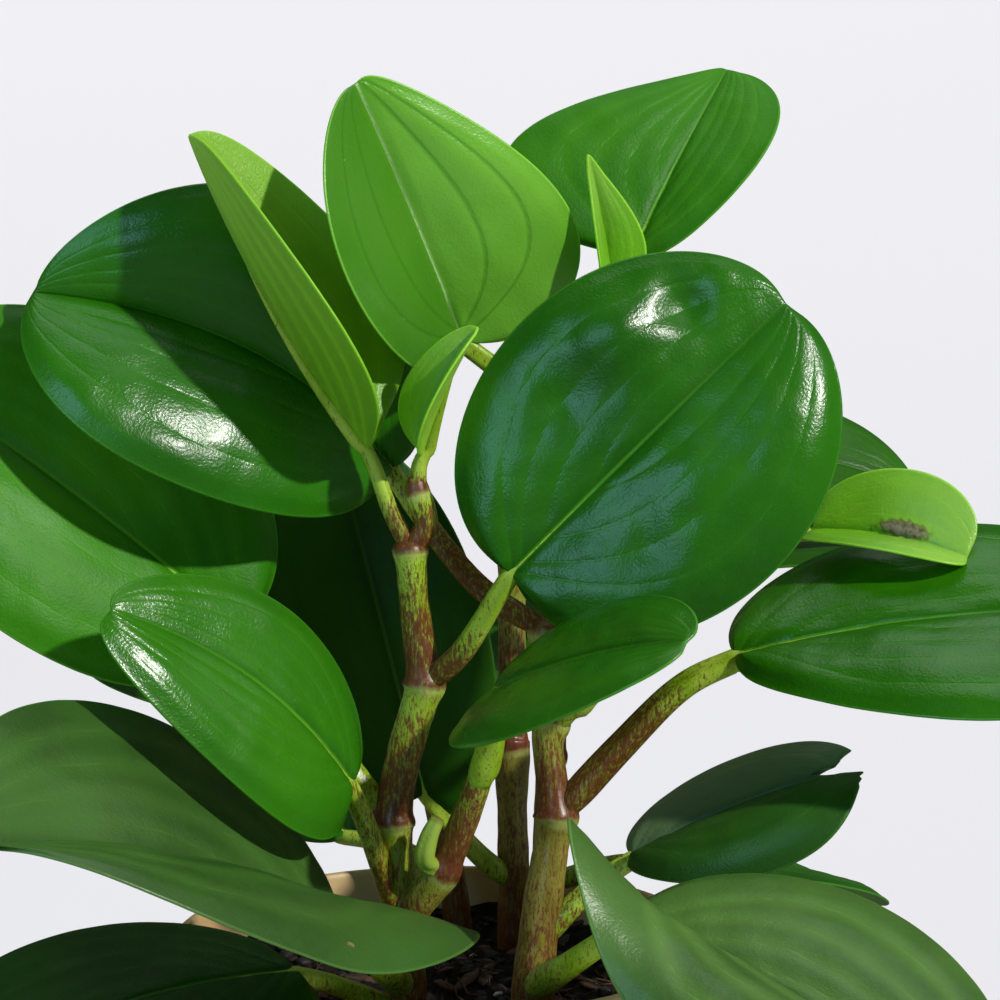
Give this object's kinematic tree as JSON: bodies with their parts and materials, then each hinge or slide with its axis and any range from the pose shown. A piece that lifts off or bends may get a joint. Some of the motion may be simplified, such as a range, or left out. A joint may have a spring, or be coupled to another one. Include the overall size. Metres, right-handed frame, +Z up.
{
  "type": "potted peperomia",
  "caption": "Peperomia with thick, glossy, rounded leaves on upright stems, growing in a plain round tan pot.",
  "frame": {"origin": "middle of the pot's flat base", "axes": "+Z up along the pot, -Y towards the front, +X to the right as seen from the front"},
  "size_m": [0.2405, 0.2385, 0.2754],
  "materials": {
    "leaf": "glossy leaf",
    "young_leaf": "soft glossy young leaf",
    "stem": "satin, speckled",
    "soil": "crumbly potting soil",
    "pot": "satin moulded plastic"
  },
  "bodies": {
    "root": {"pot": "pot", "soil": "soil", "main_stem": "stem", "right_stem": "stem", "back_stem": "stem", "back_left_stem": "stem", "back_right_stem": "stem", "leaf_upper_left": "leaf", "leaf_young_folded": "young_leaf", "leaf_top_centre": "leaf", "leaf_shoot_tip": "young_leaf", "leaf_round_front": "leaf", "leaf_top_right": "leaf", "leaf_young_curled": "young_leaf", "leaf_scarred": "young_leaf", "leaf_far_right": "leaf", "leaf_right_large": "leaf", "leaf_front_small": "leaf", "leaf_middle": "leaf", "leaf_left_large": "leaf", "leaf_left_centre": "leaf", "leaf_left_front": "leaf", "leaf_low_left": "leaf", "leaf_torn": "leaf", "leaf_right_front": "leaf", "leaf_behind_left": "leaf", "leaf_behind_stems": "leaf", "leaf_back_low": "leaf", "leaf_back_left_high": "leaf", "leaf_back_left_middle": "leaf", "leaf_back_top": "leaf", "leaf_back_right_high": "leaf", "leaf_back_right_middle": "leaf", "leaf_back_right_side": "leaf", "leaf_back_right_low": "leaf", "leaf_back_left_low": "leaf", "leaf_back_centre_high": "leaf"}
  },
  "joints": []
}
